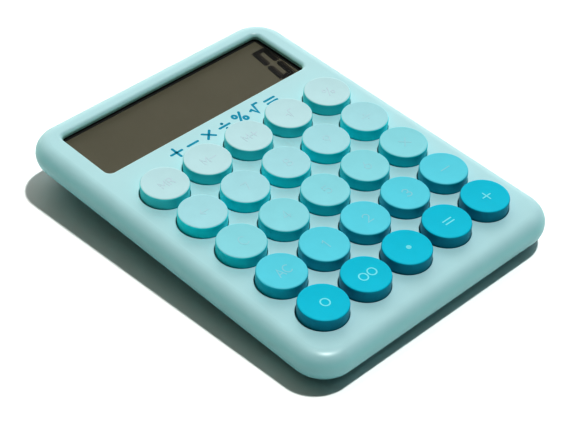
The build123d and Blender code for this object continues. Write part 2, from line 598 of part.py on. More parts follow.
with BuildPart() as plate_contact:
    with BuildSketch(Plane.YZ.offset(CONTACT_X)):
        with Locations((BAY_Y, CELL_Z)):
            Rectangle(CONTACT_SIZE, CONTACT_SIZE)
    extrude(amount=-CONTACT_THICKNESS)
    with BuildSketch(Plane.YZ.offset(CONTACT_X - CONTACT_THICKNESS)):
        with Locations((BAY_Y, CELL_Z)):
            Circle(NUB_RADIUS + 0.4)
    extrude(amount=-(CONTACT_X - CONTACT_THICKNESS - CELL_NUB_END - 0.05))
save(plate_contact, "plate_contact")

SPRING_START = -CONTACT_X + CONTACT_THICKNESS
SPRING_LENGTH = CELL_FLAT_END - SPRING_START - SPRING_WIRE
SPRING_PITCH = SPRING_LENGTH / SPRING_TURNS

with BuildPart() as spring_contact:
    with BuildSketch(Plane.YZ.offset(-CONTACT_X)):
        with Locations((BAY_Y, CELL_Z)):
            Rectangle(CONTACT_SIZE, CONTACT_SIZE)
    extrude(amount=CONTACT_THICKNESS)
    with BuildLine():
        coil = Helix(
            pitch=SPRING_PITCH,
            height=SPRING_LENGTH,
            radius=SPRING_RADIUS,
            center=(SPRING_START, BAY_Y, CELL_Z),
            direction=(1, 0, 0),
        )
    with BuildSketch(Plane(origin=coil @ 0, z_dir=coil % 0)):
        Circle(SPRING_WIRE)
    sweep(path=coil)
save(spring_contact, "spring_contact")

# ---------------------------------------------------------------- battery leads to the board
WIRE_RADIUS = 0.5
WIRE_Z = 10.0
BOARD_EDGE_Y = floor_y(BOARD_REAR_Y, BOARD_BOTTOM) - 3.0

for name, side in [("red_lead", 1), ("black_lead", -1)]:
    start_x = side * (BAY_LENGTH / 2 + BAY_WALL + 1.2)
    board_z = floor_z(BOARD_REAR_Y - 8.0, BOARD_BOTTOM) - WIRE_RADIUS - 0.2
    with BuildPart() as lead:
        with BuildLine():
            route = FilletPolyline(
                (start_x, BAY_Y, WIRE_Z),
                (start_x, BAY_FRONT_Y - 3.0, WIRE_Z),
                (side * 18.0, BOARD_EDGE_Y + 4.0, board_z),
                (side * 18.0, BOARD_EDGE_Y - 4.0, board_z),
                radius=3.0,
            )
        with BuildSketch(Plane(origin=route @ 0, z_dir=route % 0)):
            Circle(WIRE_RADIUS)
        sweep(path=route)
    save(lead, name)

# ---------------------------------------------------------------- keys
KEY_NAMES = [
    ["key_0", "key_00", "key_decimal", "key_equals", "key_plus"],
    ["key_all_clear", "key_1", "key_2", "key_3", "key_minus"],
    ["key_clear", "key_4", "key_5", "key_6", "key_times"],
    ["key_backspace", "key_7", "key_8", "key_9", "key_divide"],
    ["key_memory_recall", "key_memory_minus", "key_memory_plus", "key_square_root", "key_percent"],
]
KEY_CAVITY_RADIUS = KEY_SKIRT_RADIUS - KEY_WALL - 0.1
KEY_RIB = 0.8
KEY_RIB_DEPTH = 1.6


def key_place(column, row):
    """Centre of a key on the deck, counted from the front left."""
    middle = (KEY_COUNT - 1) / 2
    return ((column - middle) * KEY_PITCH_X, (row - middle) * KEY_PITCH_Y)


for row, names in enumerate(KEY_NAMES):
    for column, name in enumerate(names):
        centre = deck_plane.from_local_coords(key_place(column, row) + (0.0,))
        key_plane = Plane(origin=centre, x_dir=(1, 0, 0), z_dir=deck_plane.x_dir.cross(deck_plane.y_dir))
        section = Plane(origin=centre, x_dir=(1, 0, 0), z_dir=-deck_plane.y_dir)
        with BuildPart() as key:
            # half section: dished top, drafted side, retaining flange, hollow underside and stem
            with BuildSketch(section):
                with BuildLine():
                    dish = ThreePointArc(
                        (0, KEY_TOP_HEIGHT - KEY_DISH),
                        (KEY_TOP_RADIUS / 2, KEY_TOP_HEIGHT - KEY_DISH * 0.75),
                        (KEY_TOP_RADIUS, KEY_TOP_HEIGHT),
                    )
                    Polyline(
                        dish @ 1,
                        (KEY_SKIRT_RADIUS, -KEY_FLANGE_TOP),
                        (KEY_FLANGE_RADIUS, -KEY_FLANGE_TOP),
                        (KEY_FLANGE_RADIUS, -KEY_FLANGE_END),
                        (KEY_CAVITY_RADIUS, -KEY_FLANGE_END),
                        (KEY_CAVITY_RADIUS - 0.2, KEY_TOP_HEIGHT - KEY_CROWN - KEY_DISH),
                        (KEY_STEM_RADIUS, KEY_TOP_HEIGHT - KEY_CROWN - KEY_DISH),
                        (KEY_STEM_RADIUS, -KEY_STEM_END),
                        (0, -KEY_STEM_END),
                        dish @ 0,
                    )
                make_face()
            revolve(axis=Axis(key_plane.origin, key_plane.z_dir))
            rim = key.edges().filter_by(GeomType.CIRCLE).sort_by(deck_axis)[-1]
            fillet(rim, KEY_EDGE_RADIUS)
            # cross ribs that tie the stem to the cap
            with BuildSketch(key_plane.offset(KEY_TOP_HEIGHT - KEY_CROWN - KEY_DISH)):
                Rectangle(2 * KEY_CAVITY_RADIUS, KEY_RIB)
                Rectangle(KEY_RIB, 2 * KEY_CAVITY_RADIUS)
            extrude(amount=-KEY_RIB_DEPTH)
        save(key, name)
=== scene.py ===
"""Looks of the desk calculator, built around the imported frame: materials, legends, display digit, stage.

Lengths in this script are millimetres in the deck's own axes (x to the right, y towards the display,
z out of the deck, origin at the middle of the key grid), turned into metres by Deck.point().
"""
import json
import math

import bmesh
import bpy
from mathutils import Matrix, Vector
from mathutils.bvhtree import BVHTree


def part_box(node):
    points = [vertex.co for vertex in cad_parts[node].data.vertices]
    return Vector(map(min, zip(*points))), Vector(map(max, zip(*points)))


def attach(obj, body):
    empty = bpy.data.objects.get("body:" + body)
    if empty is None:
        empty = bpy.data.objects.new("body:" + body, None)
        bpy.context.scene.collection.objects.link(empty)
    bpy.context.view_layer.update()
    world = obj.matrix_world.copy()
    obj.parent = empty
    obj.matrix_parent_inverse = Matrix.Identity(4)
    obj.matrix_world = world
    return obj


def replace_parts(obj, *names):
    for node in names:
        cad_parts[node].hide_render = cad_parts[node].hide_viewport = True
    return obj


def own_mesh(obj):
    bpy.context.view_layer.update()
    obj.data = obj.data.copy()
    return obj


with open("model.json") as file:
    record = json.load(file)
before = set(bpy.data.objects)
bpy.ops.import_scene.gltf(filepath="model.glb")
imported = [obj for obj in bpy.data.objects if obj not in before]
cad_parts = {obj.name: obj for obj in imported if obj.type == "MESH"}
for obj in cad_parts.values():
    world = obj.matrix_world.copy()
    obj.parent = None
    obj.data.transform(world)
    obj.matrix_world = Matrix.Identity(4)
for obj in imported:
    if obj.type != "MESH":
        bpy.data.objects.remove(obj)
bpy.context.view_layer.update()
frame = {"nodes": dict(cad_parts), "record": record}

MM = 0.001

# ---------------------------------------------------------------- colours (linear RGB, as albedo)
DECK_COLOUR = (0.415, 0.65, 0.69)
# painted shade: the darker, deeper teal given to the case wherever it doesn't face up out of the deck
CASE_SIDE_PAINTED_SHADE = (0.30, 0.63, 0.65)
WINDOW_WALL_PAINTED_LIGHT = (0.50, 0.86, 0.84)  # painted light: the walls round the display are coloured lighter, for the light they catch and the sides don't
WINDOW_MARGIN = 2.0  # how far past the clear cover that painted light goes
# deeper teal lower shell and door: partly a two-tone tone, partly painted shade, kept dark to deepen the
# shade under the case
LOWER_CASE_TONE_AND_PAINTED_SHADE = (0.08, 0.36, 0.39)
KEY_TOP_COLOURS = [
    (0.0, 0.50, 0.66),
    (0.12, 0.60, 0.72),
    (0.27, 0.64, 0.71),
    (0.38, 0.66, 0.72),
    (0.49, 0.69, 0.73),
]
# key skirts: partly a two-tone moulded teal, partly painted light and shade of the key sides in each row
KEY_SKIRT_TONE_AND_PAINTED_SHADING = [
    (0.0, 0.31, 0.44),
    (0.0, 0.50, 0.63),
    (0.0, 0.70, 0.78),
    (0.0, 0.86, 0.93),
    (0.08, 0.76, 0.80),
]
LEGEND_COLOURS = [
    (0.22, 0.72, 0.80),
    (0.26, 0.60, 0.70),
    (0.32, 0.61, 0.69),
    (0.42, 0.64, 0.71),
    (0.50, 0.64, 0.71),
]
PRINT_COLOUR = (0.0, 0.28, 0.42)

KEY_ROWS = [
    ["key_0", "key_00", "key_decimal", "key_equals", "key_plus"],
    ["key_all_clear", "key_1", "key_2", "key_3", "key_minus"],
    ["key_clear", "key_4", "key_5", "key_6", "key_times"],
    ["key_backspace", "key_7", "key_8", "key_9", "key_divide"],
    ["key_memory_recall", "key_memory_minus", "key_memory_plus", "key_square_root", "key_percent"],
]
BODY_OF_NODE = {
    node: body for body, nodes in frame["record"]["behaviour"]["bodies"].items() for node in nodes
}


# ---------------------------------------------------------------- the deck's axes, read from the frame
class Deck:
    """Axes and origin of the tilted deck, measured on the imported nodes."""

    def __init__(self):
        joints = {joint["name"]: joint for joint in frame["record"]["behaviour"]["joints"]}
        self.out = -Vector(joints["press_5"]["axis"]).normalized()
        self.right = Vector((1.0, 0.0, 0.0))
        self.back = self.out.cross(self.right)
        casing = frame["nodes"]["upper_casing"].data
        height = max(vertex.co.dot(self.out) for vertex in casing.vertices)
        low, high = self.extent("key_5", self.back)
        self.origin = self.out * height + self.back * (low + high) / 2

    def extent(self, node, direction):
        """Lowest and highest reach of a node along a direction, in metres."""
        reach = [vertex.co.dot(direction) for vertex in frame["nodes"][node].data.vertices]
        return min(reach), max(reach)

    def point(self, x, y, z=0.0):
        """Row-frame point, in metres, of a deck point in millimetres."""
        return self.origin + (self.right * x + self.back * y + self.out * z) * MM

    def local(self, point):
        """Deck coordinates, in millimetres, of a row-frame point."""
        offset = (point - self.origin) / MM
        return Vector((offset.dot(self.right), offset.dot(self.back), offset.dot(self.out)))

    def box(self, node):
        """Lowest and highest corners of a node in deck coordinates, in millimetres."""
        points = [self.local(vertex.co) for vertex in frame["nodes"][node].data.vertices]
        low = Vector([min(p[axis] for p in points) for axis in range(3)])
        high = Vector([max(p[axis] for p in points) for axis in range(3)])
        return low, high


deck = Deck()


# ---------------------------------------------------------------- materials
NOISE_LOW, NOISE_HIGH = 0.3, 0.7  # range that most of a noise texture's values lie in
FLAT_SPECULAR = 0.1  # keeps the soft light's veil off surfaces that look matt in the photo
ACRYLIC_IOR = 1.49
PLASTIC_GRAIN = (0.35, 0.004)  # feature size and height of a moulded surface, in millimetres
PLASTIC_PATCH = 6.0


class Shader:
    """A node material with one Principled shader, its noise textures in object coordinates."""

    def __init__(self, name):
        self.material = bpy.data.materials.new(name)
        self.material.use_nodes = True
        self.nodes = self.material.node_tree.nodes
        self.links = self.material.node_tree.links
        self.shader = self.nodes["Principled BSDF"]
        self.coordinates = self.nodes.new("ShaderNodeTexCoord")

    def noise(self, size_mm, detail=3.0):
        """Noise whose features are about size_mm wide; returns its factor output."""
        noise = self.nodes.new("ShaderNodeTexNoise")
        noise.inputs["Scale"].default_value = 1.0 / (size_mm * MM)
        noise.inputs["Detail"].default_value = detail
        self.links.new(self.coordinates.outputs["Object"], noise.inputs["Vector"])
        return noise.outputs["Fac"]

    def patches(self, size_mm, detail=3.0, low=0.0, high=1.0):
        """Soft patches about size_mm wide, from low to high."""
        node = self.nodes.new("ShaderNodeMapRange")
        node.inputs["From Min"].default_value = NOISE_LOW
        node.inputs["From Max"].default_value = NOISE_HIGH
        node.inputs["To Min"].default_value = low
        node.inputs["To Max"].default_value = high
        self.links.new(self.noise(size_mm, detail), node.inputs["Value"])
        return node.outputs["Result"]

    def mix(self, factor, first, second):
        """Mix of two colours, each a tuple or an output."""
        node = self.nodes.new("ShaderNodeMix")
        node.data_type = "RGBA"
        self.links.new(factor, node.inputs["Factor"])
        for socket, colour in (("A", first), ("B", second)):
            target = [i for i in node.inputs if i.name == socket and i.type == "RGBA"][0]
            if isinstance(colour, tuple):
                target.default_value = colour + (1.0,)
            else:
                self.links.new(colour, target)
        return [o for o in node.outputs if o.type == "RGBA"][0]

    def facing(self, direction, start, end):
        """0 to 1 as the surface normal turns towards direction."""
        dot = self.nodes.new("ShaderNodeVectorMath")
        dot.operation = "DOT_PRODUCT"
        dot.inputs[1].default_value = direction
        self.links.new(self.coordinates.outputs["Normal"], dot.inputs[0])
        node = self.nodes.new("ShaderNodeMapRange")
        node.interpolation_type = "SMOOTHSTEP"
        node.inputs["From Min"].default_value = start
        node.inputs["From Max"].default_value = end
        self.links.new(dot.outputs["Value"], node.inputs["Value"])
        return node.outputs["Result"]

    def math(self, operation, *values):
        """Math node; a value is a number or an output."""
        node = self.nodes.new("ShaderNodeMath")
        node.operation = operation
        for socket, value in zip(node.inputs, values):
            if isinstance(value, bpy.types.NodeSocket):
                self.links.new(value, socket)
            else:
                socket.default_value = value
        return node.outputs[0]

    def within(self, low, high):
        """1 inside the box between two row-frame corners, and 0 outside it."""
        separate = self.nodes.new("ShaderNodeSeparateXYZ")
        self.links.new(self.coordinates.outputs["Object"], separate.inputs["Vector"])
        spans = [
            self.math("COMPARE", place, (start + end) / 2, (end - start) / 2)
            for place, start, end in zip(separate.outputs, low, high)
        ]
        return self.math("MULTIPLY", self.math("MULTIPLY", spans[0], spans[1]), spans[2])

    def colour(self, value):
        """Base colour from an output."""
        self.links.new(value, self.shader.inputs["Base Color"])

    def roughness(self, middle, spread, size_mm):
        """Roughness that wanders around its middle value."""
        wander = self.patches(size_mm, low=middle - spread, high=middle + spread)
        self.links.new(wander, self.shader.inputs["Roughness"])

    def bump(self, size_mm, height_mm, detail=2.0):
        """Fine surface texture of the given feature size and height."""
        node = self.nodes.new("ShaderNodeBump")
        node.inputs["Distance"].default_value = height_mm * MM
        self.links.new(self.noise(size_mm, detail), node.inputs["Height"])
        self.links.new(node.outputs["Normal"], self.shader.inputs["Normal"])

    def set(self, **values):
        """Constants on the shader's own sockets."""
        for name, value in values.items():
            self.shader.inputs[name.replace("_", " ")].default_value = value


def tinted(colour, amount):
    """The colour a little darker or lighter."""
    return tuple(min(1.0, channel * amount) for channel in colour)


def moulded(name, colour, rough, grain=PLASTIC_GRAIN, spread=0.04):
    """Moulded plastic: faint mottling, a fine spark-eroded grain and patchy gloss."""
    shader = Shader(name)
    shader.colour(shader.mix(shader.patches(9.0, 4.0), tinted(colour, 0.975), tinted(colour, 1.02)))
    shader.roughness(rough, spread, PLASTIC_PATCH)
    shader.bump(*grain)
    return shader


def case_material(name, painted_side_shade):
    """Satin aqua plastic, painted darker where it doesn't face up out of the deck (painted shade) and
    lighter on the walls round the display (painted light).
    """
    shader = Shader(name)
    upward = shader.facing(deck.out, 0.35, 0.95)
    light = shader.mix(shader.patches(12.0, 4.0), tinted(DECK_COLOUR, 0.98), tinted(DECK_COLOUR, 1.015))
    window_low, window_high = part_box("display_lens")
    margin = Vector((1.0, 1.0, 1.0)) * WINDOW_MARGIN * MM
    # painted light: inside this box round the display the side colour is swapped for a lighter one
    painted_light_region = shader.within(Vector(window_low) - margin, Vector(window_high) + margin)
    # painted shade on the sides, with painted light on the walls round the display
    painted_shade_and_wall_light = shader.mix(painted_light_region, painted_side_shade, WINDOW_WALL_PAINTED_LIGHT)
    shader.colour(shader.mix(upward, painted_shade_and_wall_light, light))
    shader.roughness(0.36, 0.04, PLASTIC_PATCH)
    shader.bump(*PLASTIC_GRAIN)
    return shader.material


def key_material(name, top, skirt):
    """Semi-gloss key: light crown, and a deeper teal skirt whose colour is partly two-tone moulding and
    partly painted light and shade of the key sides; fine polish marks.
    """
    shader = Shader(name)
    upward = shader.facing(deck.out, 0.45, 0.9)
    crown = shader.mix(shader.patches(5.0, 4.0), tinted(top, 0.98), tinted(top, 1.015))
    # painted light and shade: the skirt colour stands in for how the key sides are lit
    shader.colour(shader.mix(upward, skirt, crown))
    shader.roughness(0.34, 0.05, 3.0)
    shader.bump(0.6, 0.0008)
    shader.set(Specular_IOR_Level=FLAT_SPECULAR)
    return shader.material


def plastic_material(name, colour, rough):
    """Plain moulded plastic."""
    return moulded(name, colour, rough).material


def ink_material(name, colour):
    """Printed ink with a slight screen texture and little gloss."""
    shader = moulded(name, colour, 0.45, grain=(0.15, 0.002))
    shader.set(Specular_IOR_Level=FLAT_SPECULAR)
    return shader.material


def rubber_material(name, colour):
    """Matt rubber with a coarse grain and dusty patches."""
    return moulded(name, colour, 0.75, grain=(0.5, 0.02), spread=0.08).material


def metal_material(name, colour, rough):
    """Plated metal with fine turning marks."""
    shader = Shader(name)
    shader.colour(shader.mix(shader.patches(1.5, 4.0), tinted(colour, 0.9), colour))
    shader.roughness(rough, 0.08, 0.8)
    shader.bump(0.2, 0.004)
    shader.set(Metallic=1.0)
    return shader.material


def clear_material(name, tint, alpha):
    """Clear cover: mostly see-through, with a polished surface and faint haze."""
    shader = Shader(name)
    shader.colour(shader.mix(shader.patches(7.0), tint, tinted(tint, 1.04)))
    shader.roughness(0.06, 0.02, 4.0)
    shader.bump(6.0, 0.002)
    shader.set(Alpha=alpha, IOR=ACRYLIC_IOR)
    return shader.material


def panel_material(name, dark, light):
    """Display panel seen through its polariser: satin, unevenly coloured between dark and light."""
    shader = Shader(name)
    shader.colour(shader.mix(shader.patches(14.0), dark, light))
    shader.roughness(0.45, 0.04, 5.0)
    shader.bump(0.3, 0.001)
    shader.set(Specular_IOR_Level=FLAT_SPECULAR)
    return shader.material


def paint_nodes(material, *nodes):
    """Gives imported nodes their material."""
    for node in nodes:
        mesh = frame["nodes"][node].data
        mesh.materials.clear()
        mesh.materials.append(material)
        for polygon in mesh.polygons:
            polygon.material_index = 0


# ---------------------------------------------------------------- strokes for legends
CAP_STEPS = 8  # divisions of a stroke's round end
SHARPEST_MITRE = 0.5  # least cosine between a corner's middle line and its legs
SAME_POINT = 1e-6


def arc(cx, cy, rx, ry, start, end, steps=20):
    """Points on an elliptical arc, in degrees, anticlockwise from +x."""
    angles = [math.radians(start + (end - start) * step / steps) for step in range(steps + 1)]
    return [(cx + rx * math.cos(angle), cy + ry * math.sin(angle)) for angle in angles]


# Each glyph is drawn in a box 2 high, from y = -1 to 1, and is a list of strokes.
# "/" is the division sign, "x" the multiplication sign, "r" the root sign and "<" the backspace arrow.
GLYPHS = {
    "0": [arc(0, 0, 0.94, 1, 0, 360, 40)],
    "1": [[(-0.35, 0.6), (0.1, 1), (0.1, -1)]],
    "2": [arc(0, 0.4, 0.62, 0.6, 160, -35) + [(-0.65, -1), (0.68, -1)]],
    "3": [arc(0, 0.48, 0.58, 0.52, 150, -90) + arc(0, -0.48, 0.66, 0.52, 90, -150)],
    "4": [[(0.35, -1), (0.35, 1), (-0.7, -0.45), (0.72, -0.45)]],
    "5": [[(0.55, 1), (-0.42, 1), (-0.52, 0.12)] + arc(0, -0.38, 0.66, 0.62, 130, -145)],
    "6": [arc(0, -0.38, 0.66, 0.62, 0, 360, 36), [(-0.62, -0.2), (0.2, 1)]],
    "7": [[(-0.65, 1), (0.65, 1), (-0.2, -1)]],
    "8": [arc(0, 0.5, 0.54, 0.5, 0, 360, 32), arc(0, -0.5, 0.64, 0.5, 0, 360, 36)],
    "9": [arc(0, 0.38, 0.66, 0.62, 0, 360, 36), [(0.62, 0.2), (-0.2, -1)]],
    ".": [arc(0, 0, 0.1, 0.1, 0, 360, 12)],
    "+": [[(-0.95, 0), (0.95, 0)], [(0, -0.95), (0, 0.95)]],
    "-": [[(-0.9, 0), (0.9, 0)]],
    "x": [[(-0.68, -0.68), (0.68, 0.68)], [(-0.68, 0.68), (0.68, -0.68)]],
    "/": [
        [(-0.9, 0), (0.9, 0)],
        arc(0, 0.62, 0.06, 0.06, 0, 360, 10),
        arc(0, -0.62, 0.06, 0.06, 0, 360, 10),
    ],
    "=": [[(-0.9, 0.36), (0.9, 0.36)], [(-0.9, -0.36), (0.9, -0.36)]],
    "%": [
        [(-0.6, -1), (0.6, 1)],
        arc(-0.58, 0.58, 0.3, 0.36, 0, 360, 20),
        arc(0.58, -0.58, 0.3, 0.36, 0, 360, 20),
    ],
    "r": [[(-0.95, 0.05), (-0.6, 0.2), (-0.2, -0.9), (0.25, 0.95), (1.0, 0.95)]],
    "<": [[(0.8, 0), (-0.8, 0)], [(-0.2, 0.6), (-0.8, 0), (-0.2, -0.6)]],
    "A": [[(-0.72, -1), (0, 1), (0.72, -1)], [(-0.48, -0.33), (0.48, -0.33)]],
    "C": [arc(0.1, 0, 0.82, 1, 50, 310, 30)],
    "M": [[(-0.8, -1), (-0.8, 1), (0, -0.35), (0.8, 1), (0.8, -1)]],
    "R": [
        [(-0.55, -1), (-0.55, 1), (0.05, 1)] + arc(0.05, 0.5, 0.5, 0.5, 90, -90) + [(-0.55, 0)],
        [(0, 0), (0.6, -1)],
    ],
}
PLAIN_GLYPH_WIDTH = 1.75  # advance, on the same scale
GLYPH_WIDTHS = {"1": 1.1, "M": 2.2, "+": 2.2, "-": 2.1, "=": 2.1, "<": 2.1, "0": 2.4, "%": 2.3}

LEGENDS = {  # text and its height in millimetres
    "key_0": ("0", 3.2),
    "key_00": ("00", 3.15),
    "key_decimal": (".", 6.0),
    "key_equals": ("=", 4.2),
    "key_plus": ("+", 3.7),
    "key_all_clear": ("AC", 3.4),
    "key_minus": ("-", 4.3),
    "key_clear": ("C", 3.8),
    "key_times": ("x", 4.6),
    "key_backspace": ("<", 4.0),
    "key_divide": ("/", 4.3),
    "key_memory_recall": ("MR", 3.0),
    "key_memory_minus": ("M-", 3.0),
    "key_memory_plus": ("M+", 3.0),
    "key_square_root": ("r", 3.8),
    "key_percent": ("%", 3.8),
}
for digit in "123456789":
    LEGENDS["key_" + digit] = (digit, 3.6)


def glyph_strokes(text, height):
    """Strokes, in millimetres about (0, 0), of a short text of that height."""
    scale = height / 2
    widths = [GLYPH_WIDTHS.get(letter, PLAIN_GLYPH_WIDTH) * scale for letter in text]
    x = -sum(widths) / 2
    strokes = []
    for letter, width in zip(text, widths):
        middle = x + width / 2
        for stroke in GLYPHS[letter]:
            strokes.append([(middle + px * scale, py * scale) for px, py in stroke])
        x += width
    return strokes


def stroke_outline(points, width):
    """Left and right edges of a stroke of that width, and whether it closes on itself."""
    closed = math.dist(points[0], points[-1]) < SAME_POINT
    left, right = [], []
    count = len(points)
    for index, (x, y) in enumerate(points):
        before = points[index - 1] if index else (points[-2] if closed else None)
        after = points[index + 1] if index < count - 1 else (points[1] if closed else None)
        legs = []
        for first, second in ((before, (x, y)), ((x, y), after)):
            if first is not None and second is not None:
                leg = Vector((second[0] - first[0], second[1] - first[1]))
                if leg.length > SAME_POINT:
                    legs.append(leg.normalized())
        along = sum(legs, Vector((0.0, 0.0))).normalized()
        mitre = 1.0 / max(SHARPEST_MITRE, along.dot(legs[0]))
        side = Vector((-along.y, along.x)) * width / 2 * mitre
        left.append((x + side.x, y + side.y))
        right.append((x - side.x, y - side.y))
    return left, right, closed


def ribbon(mesh, strokes, width, place, thickness):
    """Adds flat strokes to a bmesh: place(x, y, rise) gives the 3-D point of each corner."""
    for points in strokes:
        left, right, closed = stroke_outline(points, width)
        rows = []
        for a, b in zip(left, right):
            sides = [(px, py, rise) for px, py in (a, b) for rise in (thickness, 0.0)]
            rows.append([mesh.verts.new(place(*side)) for side in sides])
        for low, high in zip(rows, rows[1:]):
            mesh.faces.new((low[0], high[0], high[2], low[2]))
            mesh.faces.new((low[1], high[1], high[0], low[0]))
            mesh.faces.new((low[2], high[2], high[3], low[3]))
        if not closed:
            add_cap(mesh, points[0], points[1], width, place, thickness)
            add_cap(mesh, points[-1], points[-2], width, place, thickness)


def add_cap(mesh, end, inner, width, place, thickness):
    """Round cap on a stroke's end."""
    away = Vector((end[0] - inner[0], end[1] - inner[1])).normalized()
    base = math.atan2(away.y, away.x)
    fan = []
    for step in range(CAP_STEPS + 1):
        angle = base + math.pi * (step / CAP_STEPS - 0.5)
        corner = (end[0] + math.cos(angle) * width / 2, end[1] + math.sin(angle) * width / 2)
        fan.append((mesh.verts.new(place(*corner, thickness)), mesh.verts.new(place(*corner, 0.0))))
    mesh.faces.new([top for top, _ in fan])
    for first, second in zip(fan, fan[1:]):
        mesh.faces.new((first[0], first[1], second[1], second[0]))


def finish_mesh(name, mesh, material, body):
    """Turns a bmesh into a piece that rides on a body."""
    bmesh.ops.recalc_face_normals(mesh, faces=mesh.faces)
    data = bpy.data.meshes.new(name)
    mesh.to_mesh(data)
    mesh.free()
    data.materials.append(material)
    piece = bpy.data.objects.new(name, data)
    bpy.context.scene.collection.objects.link(piece)
    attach(piece, body)
    return piece


PROBE_HEIGHT = 20.0  # above every key


def surface_of(node):
    """Function giving the deck height, in millimetres, of a node's top surface at a deck x, y."""
    source = frame["nodes"][node].data
    tree = BVHTree.FromPolygons(
        [vertex.co.copy() for vertex in source.vertices], [tuple(face.vertices) for face in source.polygons]
    )

    def height(x, y):
        hit = tree.ray_cast(deck.point(x, y, PROBE_HEIGHT), -deck.out)[0]
        return deck.local(hit).z

    return height


# ---------------------------------------------------------------- build: casing and inner pieces
paint_nodes(case_material("casing_upper", CASE_SIDE_PAINTED_SHADE), "upper_casing")
# the lower casing and door take the darker teal, which is partly painted shade
paint_nodes(case_material("casing_lower", LOWER_CASE_TONE_AND_PAINTED_SHADE), "lower_casing")
paint_nodes(case_material("door", LOWER_CASE_TONE_AND_PAINTED_SHADE), "battery_door")
paint_nodes(
    rubber_material("foot", (0.045, 0.05, 0.052)),
    "front_foot_left",
    "front_foot_right",
    "rear_foot_left",
    "rear_foot_right",
)
paint_nodes(clear_material("lens", (0.02, 0.021, 0.02), 0.03), "display_lens")
paint_nodes(rubber_material("gasket", (0.003, 0.006, 0.006)), "display_gasket")
panel = panel_material("display_panel", (0.117, 0.110, 0.077), (0.126, 0.118, 0.083))
paint_nodes(panel, "lcd_front_glass", "lcd_rear_glass")
paint_nodes(metal_material("reflector", (0.35, 0.33, 0.28), 0.5), "lcd_reflector")
paint_nodes(plastic_material("holder", (0.02, 0.021, 0.022), 0.5), "display_holder")
paint_nodes(rubber_material("zebra", (0.5, 0.2, 0.3)), "zebra_strip")
paint_nodes(plastic_material("board", (0.01, 0.12, 0.04), 0.35), "circuit_board")
paint_nodes(plastic_material("chip", (0.01, 0.01, 0.011), 0.2), "driver_chip")
paint_nodes(plastic_material("capacitor", (0.45, 0.28, 0.1), 0.5), "board_capacitors")
paint_nodes(metal_material("cell", (0.05, 0.18, 0.09), 0.35), "battery_cell")
paint_nodes(rubber_material("red_wire", (0.5, 0.02, 0.02)), "red_lead")
paint_nodes(rubber_material("black_wire", (0.01, 0.01, 0.01)), "black_lead")
paint_nodes(metal_material("screw", (0.56, 0.57, 0.58), 0.35), "casing_screws", "board_screws")
paint_nodes(metal_material("contact", (0.7, 0.69, 0.66), 0.22), "plate_contact", "spring_contact")

# ---------------------------------------------------------------- build: keys and their legends
LEGEND_STROKES = [0.5, 0.42, 0.4, 0.4, 0.4]  # stroke width in each row
POINT_STROKE = 1.2
LEGEND_SHIFT = (0.42, -0.3)  # printed a little off the key's centre
LEGEND_RISE = 0.03
SINK = -0.02  # how far the foot of a print reaches into its surface
key_axes = {}

for row, names in enumerate(KEY_ROWS):
    key_paint = key_material(f"key_row_{row + 1}", KEY_TOP_COLOURS[row], KEY_SKIRT_TONE_AND_PAINTED_SHADING[row])
    legend_paint = ink_material(f"legend_row_{row + 1}", LEGEND_COLOURS[row])
    for node in names:
        paint_nodes(key_paint, node)
        low, high = deck.box(node)
        key_axes[node] = ((low + high) / 2).xy
        middle = key_axes[node] + Vector(LEGEND_SHIFT)
        crown = surface_of(node)
        text, height = LEGENDS[node]

        def place(x, y, rise):
            spot = middle + Vector((x, y))
            return deck.point(spot.x, spot.y, crown(spot.x, spot.y) + (rise or SINK))

        width = POINT_STROKE if text == "." else LEGEND_STROKES[row]
        mesh = bmesh.new()
        ribbon(mesh, glyph_strokes(text, height), width, place, LEGEND_RISE)
        finish_mesh(node.replace("key", "legend"), mesh, legend_paint, BODY_OF_NODE[node])

# ---------------------------------------------------------------- build: rubber domes under the keys
DOME_REACH = 4.6  # radius that takes in one dome and nothing of the next


def dome_owner(face):
    """The key whose dome a face of the sheet belongs to, or None for the flat web between the domes."""
    spots = [deck.local(vertex.co).xy for vertex in face.verts]
    for node, axis in key_axes.items():
        if all((spot - axis).length < DOME_REACH for spot in spots):
            return node
    return None


def dome_sheet_mesh():
    """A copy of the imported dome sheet's mesh."""
    mesh = bmesh.new()
    mesh.from_mesh(frame["nodes"]["rubber_dome_sheet"].data)
    return mesh


def sheet_part(name, owner):
    """A piece made of the dome sheet's faces that have this owner."""
    mesh = dome_sheet_mesh()
    spare = [face for face, owned_by in zip(mesh.faces, dome_owners) if owned_by != owner]
    bmesh.ops.delete(mesh, geom=spare, context="FACES")
    return finish_mesh(name, mesh, dome_rubber, "case")


dome_rubber = rubber_material("dome", (0.55, 0.6, 0.6))
whole_sheet = dome_sheet_mesh()
dome_owners = [dome_owner(face) for face in whole_sheet.faces]
whole_sheet.free()
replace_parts(sheet_part("dome_web", None), "rubber_dome_sheet")

for node, axis in key_axes.items():
    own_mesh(sheet_part(node.replace("key", "dome"), node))

# ---------------------------------------------------------------- build: generic print on the deck
PRINT_TEXT = "+-x/%r="
PRINT_HEIGHT = 5.0
PRINT_STROKE = 0.95
PRINT_RISE = 0.02
PRINT_SPACING = 7.4
PRINT_X = 0.8
PRINT_Y = 50.2

mesh = bmesh.new()
for index, symbol in enumerate(PRINT_TEXT):
    offset = PRINT_X + (index - (len(PRINT_TEXT) - 1) / 2) * PRINT_SPACING

    def place(x, y, rise):
        return deck.point(offset + x, PRINT_Y + y, rise or SINK)

    ribbon(mesh, glyph_strokes(symbol, PRINT_HEIGHT), PRINT_STROKE, place, PRINT_RISE)
finish_mesh("deck_print", mesh, ink_material("print_ink", PRINT_COLOUR), "case")

